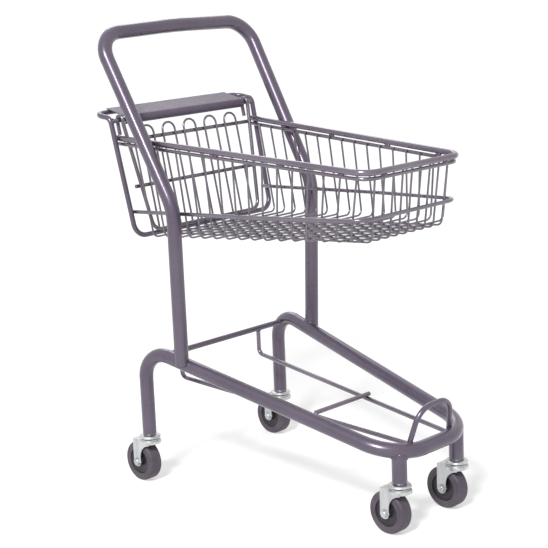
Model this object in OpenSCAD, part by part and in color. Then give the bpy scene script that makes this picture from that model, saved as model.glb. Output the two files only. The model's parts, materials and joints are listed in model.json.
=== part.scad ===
// Small wire-basket shopping cart with a swinging rear gate.
// +X is the cart's front, +Y its left side, +Z up. The origin is on the floor,
// under the middle of the cart's overall length and width.

/* [Overall] */
// Length over the front bar and the rear loop
overall_length = 555; // [500:1:670]
// Width over the push handle
overall_width = 330; // [300:1:400]
// Height of the push handle above the floor
overall_height = 715; // [650:1:860]

/* [Frame tubes] */
// Diameter of the handle and base tubes
tube_d = 22; // [18:0.5:27]
// Bend radius of the handle's top corners
handle_corner_r = 42; // [35:1:55]
// Height of the handle's bend above the floor
bend_height = 447; // [410:1:480]
// Height of the front bar's centre above the floor
front_bar_height = 123; // [110:1:150]
// Distance of the rear legs' centres inside the handle's widest place
rear_leg_inset = 19; // [16:0.5:22]

/* [Basket] */
// Diameter of the upper rim rod
rim_d = 9; // [7:0.5:11]
// Diameter of the lower rim rod
lower_rim_d = 5.5; // [4:0.5:7]
// Diameter of the belt wire
belt_d = 6; // [4:0.5:7.5]
// Diameter of the basket's wires
wire_d = 3; // [2.5:0.5:4]
// Number of wires across the basket
cross_wire_count = 16; // [10:1:16]
// Number of wires down the front and along the floor
front_wire_count = 9; // [5:2:9]

/* [Rear frame and gate] */
// Diameter of the rear frame rod
frame_rod_d = 8; // [6:0.5:10]
// Diameter of the hinge rod
hinge_rod_d = 7; // [6:0.5:8.5]
// Diameter of the gate's side and bottom rod
gate_rod_d = 6; // [5:0.5:7]
// Number of hairpin wires in the gate
hairpin_count = 5; // [3:1:5]

/* [Casters] */
// Diameter of the wheels
wheel_d = 63.5; // [53:0.5:76.5]
// Width of the tyres
wheel_width = 21; // [16:0.5:25.5]
// Distance that a wheel trails behind its swivel axis
caster_trail = 18; // [12:1:22]
// Height of a caster's head above its wheel
caster_head_h = 16.5; // [16:0.5:25]

/* [Hidden] */
$fn = 48;

paint = "#5d5563";
wire_paint = "#6b6870";
zinc = "#c9cacc";
rubber = "#6a666c";
hub_plastic = "#3a363c";

// A rod's straights lap into its bends and are thinner than them by this share
joint_lap = 0.4;
joint_share = 0.0125;
// Gap left where a rod's end is cut to fit another rod
cope_gap = 0.02;

// Frame tubes
tube_r = tube_d / 2;
caster_height = wheel_d + caster_head_h;
front_bar_x = overall_length / 2 - tube_r;
rear_leg_x = -overall_length / 2 + 85.5;
rear_leg_half = overall_width / 2 - rear_leg_inset;
rear_leg_top = front_bar_height + 98;
rear_bend_r = 40;
front_corner_half = overall_width / 2 - 82;
front_corner_r = 66;
// The handle tube's feet lie a little above and outside the middle of the rails
foot_x = rear_leg_x + 83;
foot_part = (foot_x - rear_leg_x) / (front_bar_x - rear_leg_x);
foot_half = between(rear_leg_half, front_corner_half, foot_part) + 8.4;
foot_z = between(rear_leg_top, front_bar_height, foot_part) + 2.4;
bend_x = foot_x + 5;
bend_half = rear_leg_half + 2;
bend_r = 70;
handle_x = -overall_length / 2 + 27.5;
crown = 4;
crown_r = 800;
// The sides lean outwards, so the corner's sharp point lies outside the widest place
handle_flare = 1.05;
handle_half = overall_width / 2 - tube_r + handle_flare;
crown_angle = atan(crown / handle_half);
crown_drop = crown_r * (1 / cos(crown_angle) - 1);
handle_corner_z = overall_height - tube_r - crown + crown_drop;

base_points = [
  [rear_leg_x, rear_leg_half, caster_height],
  [rear_leg_x, rear_leg_half, rear_leg_top],
  [front_bar_x, front_corner_half, front_bar_height],
  [front_bar_x, -front_corner_half, front_bar_height],
  [rear_leg_x, -rear_leg_half, rear_leg_top],
  [rear_leg_x, -rear_leg_half, caster_height]
];
base_bends = [rear_bend_r, front_corner_r, front_corner_r, rear_bend_r];

handle_points = [
  [foot_x, foot_half, foot_z],
  [bend_x, bend_half, bend_height],
  [handle_x, handle_half, handle_corner_z],
  [handle_x, 0, handle_corner_z + crown],
  [handle_x, -handle_half, handle_corner_z],
  [bend_x, -bend_half, bend_height],
  [foot_x, -foot_half, foot_z]
];
handle_bends = [bend_r, handle_corner_r, crown_r, handle_corner_r, bend_r];

// The stubs stand under the middle of the front corners' arcs
corner_arc_x = front_bar_x - front_corner_r;
corner_dir = unit(base_points[2] - base_points[1]);
corner_turn = acos(-corner_dir[1]);
corner_centre = [corner_arc_x, front_corner_half - front_corner_r * tan(corner_turn / 2)];
stub_angle = 36;
stub_x = corner_centre[0] + front_corner_r * cos(stub_angle);
stub_half = corner_centre[1] + front_corner_r * sin(stub_angle);

// Lower tray
crossbar_d = 9;
crossbar_angle = 38;
crossbar_x = rear_leg_x + rear_bend_r * (1 - sin(crossbar_angle));
crossbar_z =
  rear_leg_top
  - bend_length(base_points[0], base_points[1], base_points[2], rear_bend_r)
  + rear_bend_r * sin(90 - crossbar_angle);
tray_wire_d = 7;
tray_rear_half = rear_leg_half - 61;
tray_front_half = front_corner_half - 46.5;
tray_rear_z = front_bar_height + 37;
tray_front_rise = 4;
tray_bend_r = 10;
tray_cross_part = 0.6;
hoop_d = 8;
hoop_foot_half = 46;
hoop_top_half = 34;
hoop_height = 60;
hoop_lean = 14;
hoop_foot_part = 1.1;
hoop_bend_r = 30;

// Basket
rim_r = rim_d / 2;
lower_rim_r = lower_rim_d / 2;
belt_r = belt_d / 2;
wire_r = wire_d / 2;
frame_rod_r = frame_rod_d / 2;
bottom_rod_x = -overall_length / 2 + 80.5;
bottom_rod_z = bend_height - 52.7;
frame_corner_r = 20;
leg_lean = 33 / 149;
leg_top_z = bottom_rod_z + 180;
leg_top_x = bottom_rod_x - (leg_top_z - bottom_rod_z) * leg_lean;
leg_spread = 5;
loop_x = -overall_length / 2 + frame_rod_r;
loop_z = bottom_rod_z + 184.3;
leg_top_r = 12;
loop_corner_r = 20;

rim_rear_z = bottom_rod_z + 148.7;
rim_front_z = rim_rear_z - 21;
rim_rear_x = frame_leg_x(rim_rear_z);
rim_front_x = front_bar_x - 26.5;
rim_front_half = overall_width / 2 - 63;
rim_corner_r = 24;
// The inner sides of the two rims are flush, so that the wires lie on both
rim_inset = rim_r - lower_rim_r;
rim_gap = 1.45;
rim_spacing = rim_r + lower_rim_r + rim_gap;
// The rim touches the inside of the handle tube where the two cross
crossing_part = (rim_rear_z - 3 - bend_height) / (handle_corner_z - bend_height);
crossing_x = between(bend_x, handle_x, crossing_part);
crossing_half = between(bend_half, handle_half, crossing_part) - tube_r - rim_r - 0.5;
crossing_t = (crossing_x - rim_rear_x) / (rim_front_x - rim_rear_x);
rim_rear_half = (crossing_half - crossing_t * rim_front_half) / (1 - crossing_t);
// The rear frame's legs touch the outside of the rim
frame_bottom_half =
  rim_rear_half + frame_rod_r + rim_r
  - leg_spread * (rim_rear_z - bottom_rod_z) / (leg_top_z - bottom_rod_z);
leg_top_half = frame_bottom_half + leg_spread;
loop_half = leg_top_half + 3.5;

belt_rear_z = bottom_rod_z + 36.7;
belt_front_z = belt_rear_z + 26;
belt_rear_x = frame_leg_x(belt_rear_z);
belt_rear_half = frame_leg_half(belt_rear_z) - frame_rod_r - belt_r;
belt_front_x = front_bar_x - 35;
belt_middle_x = between(belt_rear_x, belt_front_x, 0.607);
// The belt passes the inside of the uprights on its way forward
belt_pass_half = bend_half - tube_r - belt_r - 0.5;
belt_middle_half = between(
  belt_rear_half, belt_pass_half, (belt_middle_x - belt_rear_x) / (bend_x - belt_rear_x)
);
belt_middle_z = belt_rear_z + 16;
belt_front_half = rim_front_half + 1;
belt_bow_r = 900;
belt_corner_r = 26;

// Wires lie inside the rims and the belt
top_wire_inset = rim_inset + lower_rim_r + wire_r;
belt_wire_inset = belt_r + wire_r;
floor_slope = 0.0795;
floor_rear_z = bottom_rod_z - frame_rod_r + wire_r;
floor_bend_r = 9;
first_wire_top_x = rim_rear_x + 27.4;
last_wire_top_x = rim_front_x - 21;
first_wire_floor_x = bottom_rod_x + 25;
last_wire_floor_x = belt_front_x - 25.5;
floor_side_inset = 2.2;
front_wire_spread = rim_front_half - 24;
front_wire_gap = 0.2;
front_bend_r = 10;

// Hinge and gate
hinge_z = leg_top_z - 5;
hinge_x = frame_leg_x(hinge_z);
hinge_half = frame_leg_half(hinge_z);
hinge_rod_r = hinge_rod_d / 2;
gate_rod_r = gate_rod_d / 2;
hinge_clearance = 0.06;
hook_r = hinge_rod_r + hinge_clearance + gate_rod_r;
hook_tail = 22;
gate_top_half = frame_bottom_half - 13;
gate_bottom_half = frame_bottom_half - 33;
gate_drop = 175;
gate_corner_r = 16;
gate_shoulder = 8;
gate_shoulder_r = 25;
// The gate hangs back until its bottom rod all but meets the frame's bottom rod
gate_rest_gap = 0.4;
rod_reach = norm([bottom_rod_x - hinge_x, bottom_rod_z - hinge_z]);
gate_reach = norm([hook_r, gate_drop]);
rod_spacing = frame_rod_r + gate_rod_r + gate_rest_gap;
gate_tilt =
  atan2(bottom_rod_x - hinge_x, hinge_z - bottom_rod_z)
  + acos((rod_reach ^ 2 + gate_reach ^ 2 - rod_spacing ^ 2) / (2 * rod_reach * gate_reach))
  - atan2(hook_r, gate_drop);
gate_cross_d = 6;
gate_cross_a = hook_r - gate_rod_r - gate_cross_d / 2;
gate_upper_cross_b = -32;
gate_middle_cross_b = -104;
gate_cross_overhang = 4;
hairpin_d = 3.4;
hairpin_a = gate_cross_a + gate_cross_d / 2 + hairpin_d / 2;
hairpin_top_b = -12;
hairpin_gap = 25;
hairpin_margin = 24;
hairpin_pitch = 2 * (gate_bottom_half - hairpin_margin) / (hairpin_count - 1);
cover_half = gate_top_half - gate_rod_r - 4;
cover_t = 1.5;
cover_gap = 2.2;
cover_seat_gap = 0.1;
cover_rear_lap = 3;
cover_curl = 150;
cover_steps = 24;

// Casters
axle_z = wheel_d / 2;
wheel_r = wheel_d / 2;
stem_r = 5.5;
stem_grip = front_bar_height - tube_r - caster_height - 7;
stem_clearance = 0.06;
neck_r = 7.5;
cap_r = 17;
race_r = 16.5;
race_gap = 1.2;
cap_h = 4.8;
cap_z = caster_height - 2.4 - cap_h;
race_h = 2;
fork_t = 2;
fork_top_z = cap_z - race_gap - race_h;
head_r = 9;
head_h = 1.8;
head_gap = 0.3;
eye_r = 8;
fork_reach = 10;
fork_lip = 5;
skirt_h = 3;
tyre_side_gap = 1.4;
fork_inner = wheel_width / 2 + tyre_side_gap;
axle_r = 3.5;
axle_clearance = 0.06;
bolt_head_h = 2.6;
hub_r = wheel_r - 11.25;
nut_h = 3;
nut_r = 6.2;

// ---------- helper functions ----------

// Unit vector of v
function unit(v) = v / norm(v);

// Mirror a point across the cart's middle plane
function flip(p) = [p[0], -p[1], p[2]];

// x and half width of the rear frame's legs at height z
function frame_leg_x(z) = bottom_rod_x - (z - bottom_rod_z) * leg_lean;
function frame_leg_half(z) =
  frame_bottom_half + (leg_top_half - frame_bottom_half) * (z - bottom_rod_z) / (leg_top_z - bottom_rod_z);

// Linear value between a and b
function between(a, b, t) = a + (b - a) * t;

// Height of the floor's cross wires at x
function floor_z(x) = floor_rear_z + (x - bottom_rod_x) * floor_slope;

// Angles that turn the axes to the unit vectors x, y and z
function turn_angles(x, y, z) =
  abs(x[2]) > 0.99999
    ? [atan2(-z[1], y[1]), x[2] > 0 ? -90 : 90, 0]
    : [atan2(y[2], z[2]), -asin(x[2]), atan2(x[1], x[0])];

// Length of the straight that a bend of radius r at b uses on each side
function bend_length(a, b, c, r) = r * tan(acos(unit(b - a) * unit(c - b)) / 2);

// Radius of the straights of a rod whose bends have radius r
function straight_r(r) = r * (1 - joint_share);

// A round rod from p to q, drawn out by a lap at either end
module straight(p, q, r, lap_p = 0, lap_q = 0) {
  v = q - p;
  translate(p - unit(v) * lap_p)
    rotate([0, acos(v[2] / norm(v)), atan2(v[1], v[0])])
      cylinder(h = norm(v) + lap_p + lap_q, r = r);
}

// The bent part of a rod at b, between directions a-b and b-c
module bend(a, b, c, bend_radius, r) {
  u = unit(b - a);
  w = unit(c - b);
  turn = acos(u * w);
  n = unit(cross(u, w));
  m = cross(n, u);
  start = b - u * bend_radius * tan(turn / 2);
  translate(start + m * bend_radius)
    rotate(turn_angles(-m, u, n))
      rotate_extrude(angle = turn)
        translate([bend_radius, 0])
          circle(r = r);
}

// A round rod through the points, with a bend radius at each inner point, or at
// every point of a closed rod
module bent_rod(points, bends, r, closed = false) {
  count = len(points);
  radii = closed ? bends : [0, each bends, 0];
  function at(i) = points[(i + count) % count];
  function setback(i) =
    radii[i % count] > 0 ? bend_length(at(i - 1), at(i), at(i + 1), radii[i % count]) : 0;
  function lap(i) = radii[i % count] > 0 ? joint_lap : 0;
  for (i = [0:count - (closed ? 1 : 2)]) {
    u = unit(at(i + 1) - at(i));
    straight(
      at(i) + u * setback(i), at(i + 1) - u * setback(i + 1), straight_r(r),
      lap(i), lap(i + 1)
    );
  }
  for (i = [0:count - 1])
    if (radii[i] > 0)
      bend(at(i - 1), at(i), at(i + 1), radii[i], r);
}

// A rod from p that ends where its bend at q, towards c, is complete
module bent_end(p, q, c, bend_radius, r) {
  u = unit(q - p);
  straight(p, q - u * bend_length(p, q, c, bend_radius), straight_r(r), 0, joint_lap);
  bend(p, q, c, bend_radius, r);
}

// ---------- frame ----------

module base_path(r) {
  bent_rod(base_points, base_bends, r);
}

module base_tube() {
  color(paint)
    difference() {
      base_path(tube_r);
      for (side = [-1, 1])
        translate([rear_leg_x, side * rear_leg_half, caster_height - 1])
          cylinder(h = stem_grip + 1, r = stem_r);
    }
}

module handle_tube() {
  color(paint)
    difference() {
      bent_rod(handle_points, handle_bends, tube_r);
      for (side = [-1, 1])
        straight(
          side > 0 ? base_points[1] : flip(base_points[1]),
          side > 0 ? base_points[2] : flip(base_points[2]),
          tube_r
        );
    }
}

module front_stubs() {
  color(paint)
    for (side = [-1, 1])
      difference() {
        translate([stub_x, side * stub_half, caster_height])
          cylinder(h = front_bar_height - caster_height, r = tube_r);
        base_path(tube_r + cope_gap);
        translate([stub_x, side * stub_half, caster_height - 1])
          cylinder(h = stem_grip + 1, r = stem_r);
      }
}

module rear_crossbar() {
  color(paint)
    difference() {
      straight(
        [crossbar_x, -rear_leg_half, crossbar_z], [crossbar_x, rear_leg_half, crossbar_z], crossbar_d / 2
      );
      base_path(tube_r + cope_gap);
    }
}

// The tray wire on one side, from the crossbar down and forward to the front bar
module tray_wire(side) {
  difference() {
    bent_rod(
      [
        [crossbar_x, side * tray_rear_half, crossbar_z],
        [crossbar_x, side * tray_rear_half, tray_rear_z],
        [front_bar_x, side * tray_front_half, front_bar_height + tray_front_rise]
      ],
      [tray_bend_r],
      tray_wire_d / 2
    );
    straight(
      [crossbar_x, -rear_leg_half, crossbar_z], [crossbar_x, rear_leg_half, crossbar_z], crossbar_d / 2
    );
    base_path(tube_r + cope_gap);
  }
}

module tray_wires() {
  color(wire_paint)
    for (side = [-1, 1])
      tray_wire(side);
}

module tray_cross_wire() {
  half = between(tray_rear_half, tray_front_half, tray_cross_part) + tray_wire_d / 2;
  x = between(crossbar_x, front_bar_x, tray_cross_part);
  z = between(tray_rear_z, front_bar_height + tray_front_rise, tray_cross_part) + tray_wire_d;
  color(wire_paint)
    straight([x, -half, z], [x, half, z], tray_wire_d / 2);
}

module front_hoop() {
  x = front_bar_x - tube_r * hoop_foot_part;
  z = front_bar_height;
  color(paint)
    difference() {
      bent_rod(
        [
          [x, -hoop_foot_half, z],
          [x + hoop_lean, -hoop_top_half, z + hoop_height],
          [x + hoop_lean, hoop_top_half, z + hoop_height],
          [x, hoop_foot_half, z]
        ],
        [hoop_bend_r, hoop_bend_r],
        hoop_d / 2
      );
      base_path(tube_r + cope_gap);
    }
}

// ---------- basket ----------

module rear_frame() {
  points = [
    [loop_x, loop_half, loop_z],
    [leg_top_x, leg_top_half, leg_top_z],
    [bottom_rod_x, frame_bottom_half, bottom_rod_z],
    [bottom_rod_x, -frame_bottom_half, bottom_rod_z],
    [leg_top_x, -leg_top_half, leg_top_z],
    [loop_x, -loop_half, loop_z]
  ];
  bends = [loop_corner_r, leg_top_r, frame_corner_r, frame_corner_r, leg_top_r, loop_corner_r];
  color(paint)
    bent_rod(points, bends, frame_rod_r, closed = true);
}

// A three-sided rim that starts and ends beside the rear frame's legs
module rim(rear, front, corner_r, r) {
  bent_rod([rear, front, flip(front), flip(rear)], [corner_r, corner_r], r);
}

function rim_point(x, inset, drop) =
  let (t = (x - rim_rear_x) / (rim_front_x - rim_rear_x))
    [x, between(rim_rear_half, rim_front_half, t) - inset, between(rim_rear_z, rim_front_z, t) - drop];

module rim_upper() {
  color(paint)
    rim(
      rim_point(rim_rear_x - frame_rod_r, 0, 0), [rim_front_x, rim_front_half, rim_front_z],
      rim_corner_r, rim_r
    );
}

module rim_lower() {
  front = rim_point(rim_front_x, rim_inset, rim_spacing);
  color(paint)
    rim(
      rim_point(rim_rear_x - frame_rod_r + 1, rim_inset, rim_spacing),
      [front[0] - rim_inset, front[1], front[2]],
      rim_corner_r - rim_inset, lower_rim_r
    );
}

// Half width of the belt at x, between its rear end, its bow and its front corner
function belt_half(x) =
  x < belt_middle_x
    ? between(belt_rear_half, belt_middle_half, (x - belt_rear_x) / (belt_middle_x - belt_rear_x))
    : between(belt_middle_half, belt_front_half, (x - belt_middle_x) / (belt_front_x - belt_middle_x));

module belt_wire() {
  rear = [belt_rear_x - frame_rod_r, belt_half(belt_rear_x - frame_rod_r), belt_rear_z];
  middle = [belt_middle_x, belt_middle_half, belt_middle_z];
  front = [belt_front_x, belt_front_half, belt_front_z];
  color(paint)
    bent_rod(
      [rear, middle, front, flip(front), flip(middle), flip(rear)],
      [belt_bow_r, belt_corner_r, belt_corner_r, belt_bow_r],
      belt_r
    );
}

// Top, bottom corner and half-floor points of cross wire i on the left side
function wire_part(i) = i / (cross_wire_count - 1);
function wire_top_x(i) = between(first_wire_top_x, last_wire_top_x, wire_part(i));
function wire_floor_x(i) = between(first_wire_floor_x, last_wire_floor_x, wire_part(i));
function wire_top(i) = rim_point(wire_top_x(i), top_wire_inset, rim_spacing - lower_rim_r);
function wire_corner(i) =
  let (x = wire_floor_x(i))
    [x, belt_half(x) - belt_wire_inset - floor_side_inset, floor_z(x)];
function wire_middle(i) = [wire_floor_x(i), 0, floor_z(wire_floor_x(i))];

// The wires of one side, each with its bend into the floor
module side_wires(side) {
  for (i = [0:cross_wire_count - 1]) {
    mirror([0, side > 0 ? 0 : 1, 0])
      bent_end(wire_top(i), wire_corner(i), wire_middle(i), floor_bend_r, wire_r);
  }
}

module side_wires_left() {
  color(wire_paint)
    side_wires(1);
}

module side_wires_right() {
  color(wire_paint)
    side_wires(-1);
}

// The same wires' straight runs across the floor
module floor_cross_wires() {
  color(wire_paint)
    for (i = [0:cross_wire_count - 1]) {
      corner = wire_corner(i);
      half = corner[1] - bend_length(wire_top(i), corner, wire_middle(i), floor_bend_r);
      straight([corner[0], -half, corner[2]], [corner[0], half, corner[2]], wire_r);
    }
}

// Places of the wires down the front, from the left to the right
front_wire_y = [
  for (i = [0:front_wire_count - 1])
    between(front_wire_spread, -front_wire_spread, i / (front_wire_count - 1))
];
front_top_x = rim_front_x - rim_inset - lower_rim_r - wire_r;
front_top_z = rim_front_z - rim_spacing + lower_rim_r;
front_taper = 0.965;
// The front wires lean back just enough to lie on the inside of the belt
belt_inside_x = belt_front_x - belt_wire_inset - front_wire_gap;
belt_part = (belt_front_z - floor_z(belt_inside_x)) / (front_top_z - floor_z(belt_inside_x));
front_corner_x = (belt_inside_x - belt_part * front_top_x) / (1 - belt_part);
long_wire_z = floor_z(front_corner_x) - wire_d;
long_rear_x = bottom_rod_x - frame_rod_r;

function front_corner(y) = [front_corner_x, y * front_taper, long_wire_z];
function front_top(y) = [front_top_x, y, front_top_z];
function long_rear(y) = [long_rear_x, y * front_taper, floor_z(long_rear_x) - wire_d];

module front_wires() {
  color(wire_paint)
    for (y = front_wire_y)
      bent_end(front_top(y), front_corner(y), long_rear(y), front_bend_r, wire_r);
}

module floor_long_wires() {
  color(wire_paint)
    for (y = front_wire_y) {
      corner = front_corner(y);
      setback = bend_length(front_top(y), corner, long_rear(y), front_bend_r);
      straight(corner + unit(long_rear(y) - corner) * setback, long_rear(y), wire_r);
    }
}

// ---------- hinge and gate ----------

module hinge_rod() {
  color(wire_paint)
    difference() {
      straight([hinge_x, -hinge_half, hinge_z], [hinge_x, hinge_half, hinge_z], hinge_rod_r);
      rear_frame_leg(1);
      rear_frame_leg(-1);
    }
}

module rear_frame_leg(side) {
  straight(
    [leg_top_x, side * leg_top_half, leg_top_z],
    [bottom_rod_x, side * frame_bottom_half, bottom_rod_z],
    frame_rod_r
  );
}

// A sheet that lies on the rear loop and curls down around the hinge rod
module hinge_cover() {
  inner = hinge_rod_r + cover_gap;
  top = [loop_x - hinge_x, loop_z + frame_rod_r + cover_seat_gap - hinge_z];
  // Where the flat part leaves the curl, seen from the hinge rod
  first = atan2(top[1], top[0]) - acos(inner / norm(top));
  out = [cos(first), sin(first)];
  along = [-out[1], out[0]];
  rear_end = inner * out + along * (top * along + cover_rear_lap);
  function arc(r, from, to) = [
    for (i = [0:cover_steps]) let (a = between(from, to, i / cover_steps)) r * [cos(a), sin(a)]
  ];
  color(paint)
    translate([hinge_x, cover_half, hinge_z])
      rotate([90, 0, 0])
        linear_extrude(height = 2 * cover_half)
          polygon(concat(
            [rear_end + out * cover_t, rear_end],
            arc(inner, first, first - cover_curl),
            arc(inner + cover_t, first - cover_curl, first)
          ));
}

// Row position of a gate point: a forward of the hinge, y to the left, b above it
function gate_point(a, y, b) = [
  hinge_x + a * cos(gate_tilt) - b * sin(gate_tilt),
  y,
  hinge_z + a * sin(gate_tilt) + b * cos(gate_tilt)
];

// Half width of the gate's side rods at b
function gate_half(b) = between(gate_top_half, gate_bottom_half, -b / gate_drop);

module gate_frame() {
  color(wire_paint) {
    bent_rod(
      [
        gate_point(hook_r, gate_top_half, joint_lap),
        gate_point(hook_r, gate_top_half, -gate_shoulder),
        gate_point(hook_r, gate_bottom_half, -gate_drop),
        gate_point(hook_r, -gate_bottom_half, -gate_drop),
        gate_point(hook_r, -gate_top_half, -gate_shoulder),
        gate_point(hook_r, -gate_top_half, joint_lap)
      ],
      [gate_shoulder_r, gate_corner_r, gate_corner_r, gate_shoulder_r],
      gate_rod_r
    );
    for (side = [-1, 1])
      gate_hook(side);
  }
}

// A half turn over the hinge rod, with a tail that hangs behind it
module gate_hook(side) {
  y = side * gate_top_half;
  translate([hinge_x, y, hinge_z])
    rotate([90, -gate_tilt, 0])
      rotate_extrude(angle = 180)
        translate([hook_r, 0])
          circle(r = gate_rod_r);
  straight(
    gate_point(-hook_r, y, 0), gate_point(-hook_r, y, -hook_tail), straight_r(gate_rod_r), joint_lap
  );
}

module gate_cross_rods() {
  color(wire_paint)
    for (b = [gate_upper_cross_b, gate_middle_cross_b]) {
      half = gate_half(b) + gate_rod_r + (b == gate_middle_cross_b ? gate_cross_overhang : 0);
      straight(gate_point(gate_cross_a, -half, b), gate_point(gate_cross_a, half, b), gate_cross_d / 2);
    }
}

module gate_hairpins() {
  bottom_b = -gate_drop + gate_rod_r;
  arch_r = hairpin_gap / 2;
  color(wire_paint)
    for (i = [0:hairpin_count - 1]) {
      y = (i - (hairpin_count - 1) / 2) * hairpin_pitch;
      top = hairpin_top_b - hairpin_d / 2;
      bent_rod(
        [
          gate_point(hairpin_a, y - arch_r, bottom_b),
          gate_point(hairpin_a, y - arch_r, top),
          gate_point(hairpin_a, y + arch_r, top),
          gate_point(hairpin_a, y + arch_r, bottom_b)
        ],
        [arch_r - 0.5, arch_r - 0.5],
        hairpin_d / 2
      );
    }
}

// ---------- casters ----------

// The fixed stem, cap and lower head of one caster, about its swivel axis
module caster_stem() {
  head_z = fork_top_z - fork_t - head_h - head_gap;
  rotate_extrude()
    polygon([
      [0, head_z],
      [head_r, head_z],
      [head_r, head_z + head_h],
      [stem_r, head_z + head_h],
      [stem_r, cap_z],
      [cap_r - 1.5, cap_z],
      [cap_r, cap_z + 1],
      [cap_r, cap_z + cap_h - 2.6],
      [cap_r - 1.6, cap_z + cap_h - 0.8],
      [cap_r - 3.6, cap_z + cap_h],
      [neck_r, cap_z + cap_h],
      [neck_r, caster_height],
      [stem_r, caster_height],
      [stem_r, caster_height + stem_grip - 2],
      [stem_r - 1.5, caster_height + stem_grip - 0.5],
      [0, caster_height + stem_grip - 0.5]
    ]);
}

module caster_stems() {
  color(zinc)
    for (side = [-1, 1]) {
      translate([rear_leg_x, side * rear_leg_half, 0])
        caster_stem();
      translate([stub_x, side * stub_half, 0])
        caster_stem();
    }
}

// Outline of one fork leg in the cart's XZ plane, with x from the swivel axis
module fork_leg_outline() {
  top = fork_top_z - fork_t;
  rear_x = -caster_trail - eye_r;
  eye_front = -caster_trail + eye_r;
  curve_z = axle_z + 8;
  curve_rise = top - fork_lip - curve_z;
  curve_run = fork_reach - eye_front;
  curve_r = (curve_run ^ 2 + curve_rise ^ 2) / (2 * curve_run);
  difference() {
    union() {
      translate([-caster_trail, axle_z])
        circle(r = eye_r);
      translate([rear_x, axle_z])
        square([fork_reach - rear_x, top + fork_t / 2 - axle_z]);
    }
    // The front edge runs in a hollow curve from the axle up to the head's lip
    translate([eye_front + curve_r, curve_z])
      circle(r = curve_r);
    translate([-caster_trail, axle_z])
      circle(r = axle_r + axle_clearance);
  }
}

// The round head of a fork, with its skirt and the lower race
module fork_head(top) {
  skirt_r = race_r + 1;
  hole_r = stem_r + stem_clearance;
  rotate_extrude()
    polygon([
      [hole_r, top],
      [skirt_r - fork_t, top],
      [skirt_r - fork_t, top - skirt_h],
      [skirt_r, top - skirt_h],
      [skirt_r, top + fork_t - 0.8],
      [skirt_r - 0.8, top + fork_t],
      [race_r - 1.5, top + fork_t],
      [race_r - 1.5, top + fork_t + race_h],
      [hole_r, top + fork_t + race_h]
    ]);
}

// The turning fork of one caster, about its swivel axis
module caster_fork() {
  top = fork_top_z - fork_t;
  rear_x = -caster_trail - eye_r;
  half = fork_inner + fork_t;
  difference() {
    translate([rear_x, -half, top])
      cube([-rear_x, 2 * half, fork_t]);
    translate([0, 0, top - 1])
      cylinder(h = fork_t + 2, r = race_r - fork_t / 2);
  }
  fork_head(top);
  for (side = [-1, 1])
    translate([0, side > 0 ? half : -fork_inner, 0])
      rotate([90, 0, 0])
        linear_extrude(height = fork_t)
          fork_leg_outline();
}

// Axle bolt of one caster, with its head on the right
module caster_bolt() {
  reach = fork_inner + fork_t;
  translate([-caster_trail, 0, axle_z])
    rotate([90, 0, 0])
      union() {
        translate([0, 0, -reach - nut_h])
          cylinder(h = 2 * reach + nut_h, r = axle_r);
        translate([0, 0, reach])
          cylinder(h = bolt_head_h, r = nut_r, $fn = 6);
      }
}

module caster_nut() {
  reach = fork_inner + fork_t;
  translate([-caster_trail, 0, axle_z])
    rotate([90, 0, 0])
      translate([0, 0, -reach - nut_h])
        difference() {
          cylinder(h = nut_h, r = nut_r, $fn = 6);
          translate([0, 0, -1])
            cylinder(h = nut_h + 2, r = axle_r, $fn = 48);
        }
}

module caster_hub() {
  half = wheel_width / 2;
  boss_half = fork_inner - 0.4;
  translate([-caster_trail, 0, axle_z])
    rotate([90, 0, 0])
      rotate_extrude()
        polygon([
          [axle_r + axle_clearance, -boss_half],
          [7, -boss_half],
          [8, -half + 3],
          [hub_r - 3, -half + 2],
          [hub_r, -half + 2],
          [hub_r, half - 2],
          [hub_r - 3, half - 2],
          [8, half - 3],
          [7, boss_half],
          [axle_r + axle_clearance, boss_half]
        ]);
}

module caster_tyre() {
  half = wheel_width / 2;
  edge = 3.5;
  translate([-caster_trail, 0, axle_z])
    rotate([90, 0, 0])
      rotate_extrude()
        union() {
          translate([hub_r, -half])
            square([wheel_r - hub_r - edge, 2 * half]);
          translate([wheel_r - edge - 1, -half + edge])
            square([edge + 1, 2 * (half - edge)]);
          for (end = [-1, 1])
            translate([wheel_r - edge, end * (half - edge)])
              circle(r = edge);
        }
}

// Move a caster's piece to its corner of the cart
module at_caster(front, side) {
  translate([front ? stub_x : rear_leg_x, side * (front ? stub_half : rear_leg_half), 0])
    children();
}

handle_tube();
base_tube();
front_stubs();
rear_crossbar();
tray_wires();
tray_cross_wire();
front_hoop();
rear_frame();
rim_upper();
rim_lower();
belt_wire();
side_wires_left();
side_wires_right();
floor_cross_wires();
front_wires();
floor_long_wires();
hinge_rod();
hinge_cover();
gate_frame();
gate_cross_rods();
gate_hairpins();
caster_stems();
at_caster(false, 1) color(zinc) caster_fork();  // fork_rl
at_caster(false, 1) color(zinc) caster_bolt();  // bolt_rl
at_caster(false, 1) color(zinc) caster_nut();  // nut_rl
at_caster(false, 1) color(hub_plastic) caster_hub();  // hub_rl
at_caster(false, 1) color(rubber) caster_tyre();  // tyre_rl
at_caster(false, -1) color(zinc) caster_fork();  // fork_rr
at_caster(false, -1) color(zinc) caster_bolt();  // bolt_rr
at_caster(false, -1) color(zinc) caster_nut();  // nut_rr
at_caster(false, -1) color(hub_plastic) caster_hub();  // hub_rr
at_caster(false, -1) color(rubber) caster_tyre();  // tyre_rr
at_caster(true, 1) color(zinc) caster_fork();  // fork_fl
at_caster(true, 1) color(zinc) caster_bolt();  // bolt_fl
at_caster(true, 1) color(zinc) caster_nut();  // nut_fl
at_caster(true, 1) color(hub_plastic) caster_hub();  // hub_fl
at_caster(true, 1) color(rubber) caster_tyre();  // tyre_fl
at_caster(true, -1) color(zinc) caster_fork();  // fork_fr
at_caster(true, -1) color(zinc) caster_bolt();  // bolt_fr
at_caster(true, -1) color(zinc) caster_nut();  // nut_fr
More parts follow.
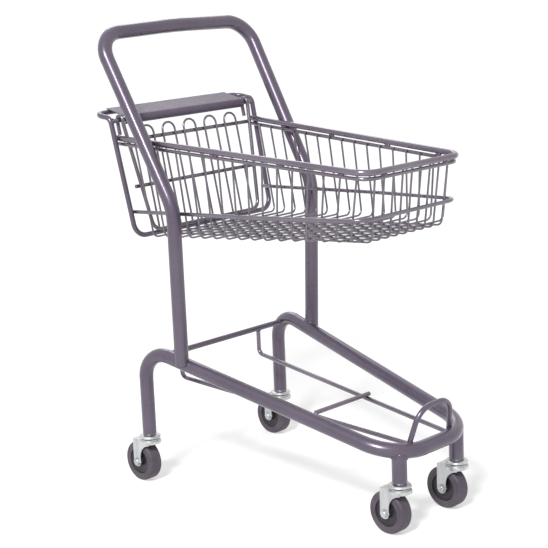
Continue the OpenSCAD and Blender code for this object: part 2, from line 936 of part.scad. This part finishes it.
at_caster(true, -1) color(hub_plastic) caster_hub();  // hub_fr
at_caster(true, -1) color(rubber) caster_tyre();  // tyre_fr
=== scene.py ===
import json
import math

import bmesh
import bpy
from mathutils import Matrix, Vector


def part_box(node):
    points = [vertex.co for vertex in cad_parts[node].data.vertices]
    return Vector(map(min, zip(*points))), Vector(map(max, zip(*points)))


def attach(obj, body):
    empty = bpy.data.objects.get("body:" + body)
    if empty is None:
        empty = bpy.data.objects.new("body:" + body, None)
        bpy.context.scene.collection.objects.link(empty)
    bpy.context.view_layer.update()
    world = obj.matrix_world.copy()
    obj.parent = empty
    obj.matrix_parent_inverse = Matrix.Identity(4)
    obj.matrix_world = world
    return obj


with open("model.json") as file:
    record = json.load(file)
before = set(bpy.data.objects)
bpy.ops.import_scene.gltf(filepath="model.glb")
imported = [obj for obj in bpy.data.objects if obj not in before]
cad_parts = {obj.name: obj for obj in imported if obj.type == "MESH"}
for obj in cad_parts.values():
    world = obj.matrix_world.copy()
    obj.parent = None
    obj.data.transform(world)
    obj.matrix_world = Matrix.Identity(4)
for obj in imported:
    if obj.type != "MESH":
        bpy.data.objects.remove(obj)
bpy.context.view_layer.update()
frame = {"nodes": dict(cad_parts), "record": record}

# ---------- camera ----------

CAMERA_AT = Vector((1.5746, -1.5905, 0.8434))
CAMERA_AZIMUTH = 45.14
CAMERA_ELEVATION = 12.76
CAMERA_ROLL = -2.21
CAMERA_LENS = 99.4
CAMERA_SHIFT = (-0.0197, -0.0018)
SENSOR = 36.0

# ---------- details ----------

SHARP = math.radians(30.0)      # a sharper turn than this between faces is an edge
WELD_DISTANCE = 2e-6            # points of neighbouring CAD faces this close are one
FEWEST_EDGES = 8                # a chain of fewer edges isn't a cut end
RIPPLE = 0.12                   # how far a bead swells and narrows, as a share
RIPPLE_STEP = 0.9               # distance between ripples, in bead radii
FEWEST_RIPPLES = 12
FOOT_HEIGHT = 0.03              # the handle tube's cut ends lie this near its lowest point
HOOP_FOOT_HEIGHT = 0.012
TRAY_FRONT_REACH = 0.012
TRAY_TOP_REACH = 0.008
RIM_SPACERS = (0.18, 0.42, 0.68, 0.9)   # places along the rim, from rear to front
RIM_TAPER = 0.3                 # how much narrower the rim is taken to be at its front
FRONT_SPACERS = (-0.45, 0.45)   # places across the rim's front, in half widths
SPACER_SIZE = (0.0055, 0.0028, 0.0034)
SPACER_LOOK_AHEAD = 0.01        # distance over which the rim's direction is taken
SPACER_LEAST_AHEAD = 0.004      # less than this means that the rim runs across
LUMP_RIPPLE = 0.08
CORNERS = ("rl", "rr", "fl", "fr")
DOME = (                        # radius in head radii, and height over the bolt's end
    (0.84, -0.0006),
    (0.84, 0.0),
    (0.78, 0.0005),
    (0.60, 0.0011),
    (0.34, 0.0015),
    (0.08, 0.0016),
)
HUB_RIM_R = 0.0188
HUB_RIM_THICKNESS = 0.0012
HUB_RIM_FLATNESS = 0.6
HUB_RIM_DEPTH = 0.002           # how far the ring lies inside the tyre's face
RING_STEPS = 72
RING_SIDES = 10

# ---------- studio sizes ----------

LAMP_TARGET = Vector((0.0, 0.0, 0.36))
FLOOR_RADIUS = 60.0
FLOOR_DROP = 0.0005
FLOOR_DARK = (0.60, 0.60, 0.60)
FLOOR_LIGHT = (0.63, 0.63, 0.63)
FLOOR_GLOW = 0.5
WORLD_LEVEL = 0.42
SUN_DIRECTION = (-0.35, 0.75, -0.75)
SUN_STRENGTH = 2.1
SUN_SPREAD = 10.0

# ---------- colours, as linear values ----------

PLUM = (0.088, 0.068, 0.105)
PLUM_LIGHT = (0.145, 0.118, 0.165)
WIRE_GREY = (0.125, 0.108, 0.135)
WIRE_LIGHT = (0.260, 0.235, 0.275)
ZINC = (0.42, 0.43, 0.44)
ZINC_LIGHT = (0.66, 0.67, 0.68)
HUB_BLACK = (0.012, 0.009, 0.013)
HUB_GREY = (0.030, 0.024, 0.032)
TYRE_GREY = (0.058, 0.044, 0.062)
TYRE_LIGHT = (0.115, 0.092, 0.118)
ROD_DARK = (0.135, 0.112, 0.150)
ROD_LIGHT = (0.270, 0.240, 0.290)
WHITE = (1.0, 1.0, 1.0)


def rgba(color):
    return (*color, 1.0)


# ---------- materials ----------

class Graph:
    """A material's node tree, with short calls that add and link nodes."""

    def __init__(self, name):
        self.material = bpy.data.materials.new(name)
        self.material.use_nodes = True
        self.tree = self.material.node_tree
        self.shader = self.tree.nodes["Principled BSDF"]
        self.place = self.node("ShaderNodeTexCoord").outputs["Object"]

    def node(self, kind, **settings):
        node = self.tree.nodes.new(kind)
        for key, value in settings.items():
            setattr(node, key, value)
        return node

    def link(self, source, target):
        self.tree.links.new(source, target)

    def noise(self, scale, detail=4.0, roughness=0.55, stretch=(1, 1, 1)):
        mapping = self.node("ShaderNodeMapping")
        mapping.inputs["Scale"].default_value = stretch
        self.link(self.place, mapping.inputs["Vector"])
        noise = self.node("ShaderNodeTexNoise")
        noise.inputs["Scale"].default_value = scale
        noise.inputs["Detail"].default_value = detail
        noise.inputs["Roughness"].default_value = roughness
        self.link(mapping.outputs["Vector"], noise.inputs["Vector"])
        return noise.outputs["Fac"]

    def cells(self, scale):
        cells = self.node("ShaderNodeTexVoronoi")
        cells.inputs["Scale"].default_value = scale
        self.link(self.place, cells.inputs["Vector"])
        return cells.outputs["Distance"]

    def remap(self, value, low, high, to_low, to_high):
        remap = self.node("ShaderNodeMapRange")
        remap.inputs["From Min"].default_value = low
        remap.inputs["From Max"].default_value = high
        remap.inputs["To Min"].default_value = to_low
        remap.inputs["To Max"].default_value = to_high
        self.link(value, remap.inputs["Value"])
        return remap.outputs["Result"]

    def blend(self, factor, first, second):
        mix = self.node("ShaderNodeMix", data_type="RGBA")
        self.link(factor, mix.inputs["Factor"])
        for value, socket in ((first, mix.inputs[6]), (second, mix.inputs[7])):
            if isinstance(value, bpy.types.NodeSocket):
                self.link(value, socket)
            else:
                socket.default_value = rgba(value)
        return mix.outputs[2]

    def bump(self, height, strength, distance, after=None):
        bump = self.node("ShaderNodeBump")
        bump.inputs["Strength"].default_value = strength
        bump.inputs["Distance"].default_value = distance
        self.link(height, bump.inputs["Height"])
        if after:
            self.link(after, bump.inputs["Normal"])
        return bump.outputs["Normal"]

    def set(self, **values):
        for key, value in values.items():
            self.shader.inputs[key.replace("_", " ")].default_value = value


def metallic_paint(name, dark, light, roughness, metallic, coat):
    """Metallic enamel: fine flakes, slow drifts of tone, an orange-peel surface."""
    g = Graph(name)
    drift = g.remap(g.noise(14.0, 3.0), 0.35, 0.65, 0.0, 1.0)
    flakes = g.remap(g.cells(2600.0), 0.15, 0.55, 1.0, 0.0)
    tone = g.blend(g.remap(drift, 0.0, 1.0, 0.15, 0.55), dark, light)
    g.link(g.blend(g.remap(flakes, 0.0, 1.0, 0.0, 0.35), tone, light), g.shader.inputs["Base Color"])
    scuffs = g.noise(160.0, 6.0, 0.65)
    g.link(g.remap(scuffs, 0.3, 0.7, roughness - 0.05, roughness + 0.08), g.shader.inputs["Roughness"])
    peel = g.bump(g.noise(420.0, 2.0), 0.10, 0.0004)
    g.link(g.bump(g.cells(1500.0), 0.06, 0.0002, peel), g.shader.inputs["Normal"])
    g.set(Metallic=metallic, Coat_Weight=coat, Coat_Roughness=0.16)
    return g.material


def plated_steel(name, dark, light, roughness, stretch):
    """Plated metal: drawn streaks along it, cloudy tone, faint pits."""
    g = Graph(name)
    streaks = g.noise(90.0, 5.0, 0.6, stretch)
    clouds = g.noise(40.0, 4.0)
    tone = g.blend(g.remap(streaks, 0.35, 0.65, 0.1, 0.9), dark, light)
    g.link(g.blend(g.remap(clouds, 0.4, 0.8, 0.0, 0.5), tone, dark), g.shader.inputs["Base Color"])
    g.link(g.remap(clouds, 0.3, 0.7, roughness - 0.07, roughness + 0.10), g.shader.inputs["Roughness"])
    fine = g.bump(streaks, 0.08, 0.0003)
    g.link(g.bump(g.cells(900.0), 0.05, 0.0002, fine), g.shader.inputs["Normal"])
    g.set(Metallic=1.0)
    return g.material


def moulded(name, dark, light, roughness, grain_scale, grain_depth):
    """Moulded rubber or plastic: fine grain, worn lighter patches."""
    g = Graph(name)
    wear = g.noise(55.0, 6.0, 0.6)
    speckle = g.noise(900.0, 2.0)
    tone = g.blend(g.remap(wear, 0.35, 0.7, 0.0, 0.85), dark, light)
    g.link(g.blend(g.remap(speckle, 0.5, 0.8, 0.0, 0.4), tone, light), g.shader.inputs["Base Color"])
    g.link(g.remap(wear, 0.3, 0.7, roughness - 0.08, roughness + 0.10), g.shader.inputs["Roughness"])
    grain = g.bump(g.noise(grain_scale, 4.0), 0.25, grain_depth)
    g.link(grain, g.shader.inputs["Normal"])
    return g.material


MATERIALS = {
    "frame_paint": metallic_paint("frame_paint", PLUM, PLUM_LIGHT, 0.30, 0.55, 0.5),
    "wire_paint": metallic_paint("wire_paint", WIRE_GREY, WIRE_LIGHT, 0.27, 0.8, 0.3),
    "cover_paint": metallic_paint("cover_paint", PLUM, PLUM_LIGHT, 0.52, 0.25, 0.05),
    "rod_paint": metallic_paint("rod_paint", ROD_DARK, ROD_LIGHT, 0.22, 0.85, 0.4),
    "caster_zinc": plated_steel("caster_zinc", ZINC, ZINC_LIGHT, 0.34, (1, 1, 0.15)),
    "hub_plastic": moulded("hub_plastic", HUB_BLACK, HUB_GREY, 0.42, 700.0, 0.0002),
    "tyre": moulded("tyre", TYRE_GREY, TYRE_LIGHT, 0.55, 420.0, 0.0005),
}


# Nodes whose finish looks different from the rest of their slot
NODE_LOOKS = {
    "hinge_cover": "cover_paint",
    "rim_upper": "rod_paint",
    "rim_lower": "rod_paint",
    "belt_wire": "rod_paint",
    "tray_wires": "rod_paint",
    "tray_cross_wire": "rod_paint",
}


def paint_cad_nodes():
    slots = {part["node"]: part["material_slot"] for part in frame["record"]["subparts"]}
    for name, node in frame["nodes"].items():
        node.data.materials.clear()
        node.data.materials.append(MATERIALS[NODE_LOOKS.get(name, slots[name])])


# ---------- pieces that Blender adds ----------

def place(name, mesh, body, material):
    """An object for a mesh that is already in place, riding on a body."""
    piece = bpy.data.objects.new(name, mesh)
    bpy.context.scene.collection.objects.link(piece)
    mesh.materials.append(MATERIALS[material])
    for face in mesh.polygons:
        face.use_smooth = True
    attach(piece, body)
    return piece


def sharp_loops(node):
    """Closed chains of sharp edges of a CAD node, as lists of points in order.

    The edges are walked in the mesh's own order, so every run finds the same chains. Where
    sharp edges branch, the walk may end early, and then that chain is left out.
    """
    form = bmesh.new()
    form.from_mesh(frame["nodes"][node].data)
    bmesh.ops.remove_doubles(form, verts=form.verts, dist=WELD_DISTANCE)
    inner = [edge for edge in form.edges if len(edge.link_faces) == 2]
    sharp = [edge for edge in inner if edge.calc_face_angle() > SHARP]
    left = dict.fromkeys(sharp)
    loops = []
    while left:
        edge = next(iter(left))
        del left[edge]
        start, point = edge.verts
        chain = [start.co.copy(), point.co.copy()]
        while point is not start:
            following = [other for other in point.link_edges if other in left]
            if not following:
                break
            del left[following[0]]
            point = following[0].other_vert(point)
            chain.append(point.co.copy())
        if point is start and len(chain) > FEWEST_EDGES:
            loops.append(chain[:-1])
    form.free()
    return loops


def middle_of(points):
    return sum(points, Vector()) / len(points)


def weld_bead(name, loop, size, body, material):
    """A rippled bead of weld metal along a closed chain of points."""
    curve = bpy.data.curves.new(name, "CURVE")
    curve.dimensions = "3D"
    curve.bevel_depth = size
    curve.bevel_resolution = 3
    lengths = [(loop[i] - loop[i - 1]).length for i in range(len(loop))]
    count = max(FEWEST_RIPPLES, round(sum(lengths) / (size * RIPPLE_STEP)))
    spline = curve.splines.new("POLY")
    spline.points.add(count - 1)
    spline.use_cyclic_u = True
    for i, point in enumerate(spaced(loop, lengths, count)):
        spline.points[i].co = (*point, 1.0)
        spline.points[i].radius = 1.0 + RIPPLE * (1 if i % 2 else -1)
    holder = bpy.data.objects.new(name, curve)
    bpy.context.scene.collection.objects.link(holder)
    graph = bpy.context.evaluated_depsgraph_get()
    mesh = bpy.data.meshes.new_from_object(holder.evaluated_get(graph))
    bpy.data.objects.remove(holder)
    mesh.name = name
    return place(name, mesh, body, material)


def spaced(loop, lengths, count):
    """count points at even distances along a closed chain whose steps have these lengths."""
    total = sum(lengths)
    points = []
    step = 1
    passed = 0.0
    for i in range(count):
        target = total * i / count
        while passed + lengths[step % len(loop)] < target:
            passed += lengths[step % len(loop)]
            step += 1
        part = (target - passed) / max(lengths[step % len(loop)], 1e-9)
        points.append(loop[(step - 1) % len(loop)].lerp(loop[step % len(loop)], part))
    return points


def weld_joints():
    """Beads at those cut ends of tubes and rods whose edge is found as one closed chain.

    Not every end has one: an end whose chain branches gets no bead.
    """
    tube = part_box("handle_tube")
    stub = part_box("front_stubs")
    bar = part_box("rear_crossbar")
    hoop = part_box("front_hoop")
    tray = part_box("tray_wires")
    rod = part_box("hinge_rod")
    joints = (
        ("handle_tube", 0.0019, lambda p: p.z < tube[0].z + FOOT_HEIGHT),
        ("front_stubs", 0.0018, lambda p: p.z > stub[0].z * 0.3 + stub[1].z * 0.7),
        ("rear_crossbar", 0.0014, lambda p: abs(p.y) > bar[1].y * 0.9),
        ("front_hoop", 0.0013, lambda p: p.z < hoop[0].z + HOOP_FOOT_HEIGHT),
        ("tray_wires", 0.0012, lambda p: (
            p.x > tray[1].x - TRAY_FRONT_REACH or p.z > tray[1].z - TRAY_TOP_REACH
        )),
        ("hinge_rod", 0.0011, lambda p: abs(p.y) > rod[1].y * 0.95),
    )
    for node, size, wanted in joints:
        loops = [loop for loop in sharp_loops(node) if wanted(middle_of(loop))]
        for i, loop in enumerate(loops):
            weld_bead(f"{node}_weld_{i}", loop, size, "cart", "frame_paint")


def blob(name, at, along, sizes, body, material):
    """A small rounded lump with its long side along a direction."""
    form = bmesh.new()
    bmesh.ops.create_icosphere(form, subdivisions=3, radius=1.0)
    turn = along.to_track_quat("X", "Z").to_matrix().to_4x4()
    for vertex in form.verts:
        x, y, z = vertex.co
        ripple = 1.0 + LUMP_RIPPLE * math.sin(9.0 * x) * math.cos(7.0 * z)
        vertex.co = Vector((x * sizes[0], y * sizes[1], z * sizes[2])) * ripple
    bmesh.ops.transform(form, matrix=Matrix.Translation(at) @ turn, verts=form.verts)
    mesh = bpy.data.meshes.new(name)
    form.to_mesh(mesh)
    form.free()
    return place(name, mesh, body, material)


def nearest(node, point):
    found, place_on, _, _ = frame["nodes"][node].closest_point_on_mesh(point)
    return place_on if found else point


def add_rim_spacers():
    """The weld lumps that hold the two rims together, at even places along them."""
    low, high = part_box("rim_upper")
    spots = []
    for side in (-1, 1):
        for part in RIM_SPACERS:
            x = low.x + (high.x - low.x) * part
            spots.append(Vector((x, side * high.y * (1.0 - RIM_TAPER * part), (low.z + high.z) / 2)))
    for y in FRONT_SPACERS:
        spots.append(Vector((high.x, high.y * y, low.z)))
    for i, spot in enumerate(spots):
        lower = nearest("rim_lower", nearest("rim_upper", spot))
        upper = nearest("rim_upper", lower)
        along = nearest("rim_lower", lower + Vector((SPACER_LOOK_AHEAD, 0.0, 0.0))) - lower
        if along.length <= SPACER_LEAST_AHEAD:
            along = Vector((0.0, 1.0, 0.0))
        middle = (lower + upper) / 2
        blob(f"rim_spacer_{i}", middle, along, SPACER_SIZE, "cart", "frame_paint")


def lathe(name, profile, centre, axis, body, material, segments=48):
    """A turned piece: radius and distance along the axis, from the centre."""
    form = bmesh.new()
    rings = []
    for radius, height in profile:
        ring = []
        for i in range(segments):
            angle = 2 * math.pi * i / segments
            ring.append(form.verts.new((radius * math.cos(angle), radius * math.sin(angle), height)))
        rings.append(ring)
    for first, second in zip(rings, rings[1:]):
        for i in range(segments):
            j = (i + 1) % segments
            form.faces.new((first[i], first[j], second[j], second[i]))
    form.faces.new(list(reversed(rings[0])))
    form.faces.new(rings[-1])
    turn = Vector(axis).to_track_quat("Z", "Y").to_matrix().to_4x4()
    bmesh.ops.transform(form, matrix=Matrix.Translation(centre) @ turn, verts=form.verts)
    mesh = bpy.data.meshes.new(name)
    form.to_mesh(mesh)
    form.free()
    return place(name, mesh, body, material)


def ring(name, radius, thickness, centre, body, material):
    """A round-section ring about the Y axis."""
    form = bmesh.new()
    rings = []
    for i in range(RING_STEPS):
        angle = 2 * math.pi * i / RING_STEPS
        out = Vector((math.cos(angle), 0.0, math.sin(angle)))
        section = []
        for j in range(RING_SIDES):
            turn = 2 * math.pi * j / RING_SIDES
            aside = math.sin(turn) * thickness * HUB_RIM_FLATNESS
            offset = out * (math.cos(turn) * thickness) + Vector((0.0, aside, 0.0))
            section.append(form.verts.new(centre + out * radius + offset))
        rings.append(section)
    for i in range(RING_STEPS):
        following = rings[(i + 1) % RING_STEPS]
        for j in range(RING_SIDES):
            k = (j + 1) % RING_SIDES
            form.faces.new((rings[i][j], rings[i][k], following[k], following[j]))
    bmesh.ops.recalc_face_normals(form, faces=form.faces)
    mesh = bpy.data.meshes.new(name)
    form.to_mesh(mesh)
    form.free()
    return place(name, mesh, body, material)


def dress_casters():
    """Domed ends on the axle bolts and their nuts, and a raised ring on each face of a hub."""
    for corner in CORNERS:
        low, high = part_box(f"bolt_{corner}")
        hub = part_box(f"hub_{corner}")
        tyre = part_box(f"tyre_{corner}")
        x = (low.x + high.x) / 2
        z = (low.z + high.z) / 2
        head_r = (high.z - low.z) / 2
        dome = [(head_r * share, height) for share, height in DOME]
        for end, y, out in (("head", low.y, -1), ("nut", high.y, 1)):
            lathe(
                f"bolt_{end}_dome_{corner}", dome, Vector((x, y, z)), (0, out, 0),
                f"swivel_{corner}", "caster_zinc",
            )
        middle = (hub[0].y + hub[1].y) / 2
        half = (tyre[1].y - tyre[0].y) / 2
        for side in (-1, 1):
            ring(
                f"hub_rim_{corner}_{side + 1}", HUB_RIM_R, HUB_RIM_THICKNESS,
                Vector((x, middle + side * (half - HUB_RIM_DEPTH), z)),
                f"wheel_{corner}", "hub_plastic",
            )


# ---------- studio ----------

def add_camera():
    azimuth = math.radians(CAMERA_AZIMUTH)
    elevation = math.radians(CAMERA_ELEVATION)
    roll = math.radians(CAMERA_ROLL)
    back = Vector((
        math.sin(azimuth) * math.cos(elevation),
        -math.cos(azimuth) * math.cos(elevation),
        math.sin(elevation),
    ))
    right = Vector((math.cos(azimuth), math.sin(azimuth), 0.0))
    up = back.cross(right)
    rolled_right = math.cos(roll) * right + math.sin(roll) * up
    rolled_up = math.cos(roll) * up - math.sin(roll) * right
    data = bpy.data.cameras.new("camera")
    data.lens = CAMERA_LENS
    data.sensor_width = SENSOR
    data.shift_x, data.shift_y = CAMERA_SHIFT
    camera = bpy.data.objects.new("camera", data)
    camera.matrix_world = Matrix((
        (rolled_right.x, rolled_up.x, back.x, CAMERA_AT.x),
        (rolled_right.y, rolled_up.y, back.y, CAMERA_AT.y),
        (rolled_right.z, rolled_up.z, back.z, CAMERA_AT.z),
        (0.0, 0.0, 0.0, 1.0),
    ))
    bpy.context.scene.collection.objects.link(camera)
    bpy.context.scene.camera = camera


def add_light(name, at, power, size):
    """A square area lamp that faces the middle of the cart."""
    data = bpy.data.lights.new(name, "AREA")
    data.energy = power
    data.size = size
    light = bpy.data.objects.new(name, data)
    light.location = at
    light.rotation_euler = (LAMP_TARGET - Vector(at)).to_track_quat("-Z", "Y").to_euler()
    bpy.context.scene.collection.objects.link(light)


def add_sun(direction, strength, spread):
    data = bpy.data.lights.new("sun", "SUN")
    data.energy = strength
    data.angle = math.radians(spread)
    light = bpy.data.objects.new("sun", data)
    light.rotation_euler = Vector(direction).to_track_quat("-Z", "Y").to_euler()
    bpy.context.scene.collection.objects.link(light)


def seen_directly(graph_tree):
    """1 for rays from the camera, from reflections and through glass, and 0 for lighting."""
    path = graph_tree.nodes.new("ShaderNodeLightPath")
    total = path.outputs["Is Camera Ray"]
    for name in ("Is Glossy Ray", "Is Transmission Ray"):
        larger = graph_tree.nodes.new("ShaderNodeMath")
        larger.operation = "MAXIMUM"
        graph_tree.links.new(total, larger.inputs[0])
        graph_tree.links.new(path.outputs[name], larger.inputs[1])
        total = larger.outputs[0]
    return total


def add_world(level):
    """Even grey light, seen as plain white by the camera and in reflections."""
    world = bpy.data.worlds.new("world")
    world.use_nodes = True
    bpy.context.scene.world = world
    tree = world.node_tree
    background = tree.nodes["Background"]
    background.inputs["Color"].default_value = rgba(WHITE)
    strength = tree.nodes.new("ShaderNodeMapRange")
    strength.inputs["To Min"].default_value = level
    strength.inputs["To Max"].default_value = 1.0
    tree.links.new(seen_directly(tree), strength.inputs["Value"])
    tree.links.new(strength.outputs["Result"], background.inputs["Strength"])


def add_floor(glow):
    """A pale floor that looks white in open light and keeps the cart's shadow."""
    mesh = bpy.data.meshes.new("floor")
    form = bmesh.new()
    bmesh.ops.create_circle(form, cap_ends=True, segments=64, radius=FLOOR_RADIUS)
    form.to_mesh(mesh)
    form.free()
    floor = bpy.data.objects.new("floor", mesh)
    floor.location.z = -FLOOR_DROP
    bpy.context.scene.collection.objects.link(floor)
    g = Graph("floor")
    tone = g.blend(g.noise(3.0, 4.0), FLOOR_DARK, FLOOR_LIGHT)
    g.link(tone, g.shader.inputs["Base Color"])
    g.set(Roughness=0.9, Specular_IOR_Level=0.1, Emission_Color=rgba(WHITE))
    shown = g.remap(seen_directly(g.tree), 0.0, 1.0, 0.0, glow)
    g.link(shown, g.shader.inputs["Emission Strength"])
    mesh.materials.append(g.material)


paint_cad_nodes()
weld_joints()
add_rim_spacers()
dress_casters()
add_camera()
add_floor(FLOOR_GLOW)
add_world(WORLD_LEVEL)
add_sun(SUN_DIRECTION, SUN_STRENGTH, SUN_SPREAD)
add_light("streak", (1.0, -1.9, 1.9), 22.0, 0.2)
add_light("rear", (-2.0, 1.4, 2.2), 12.0, 1.2)
bpy.context.scene.view_settings.view_transform = "Standard"
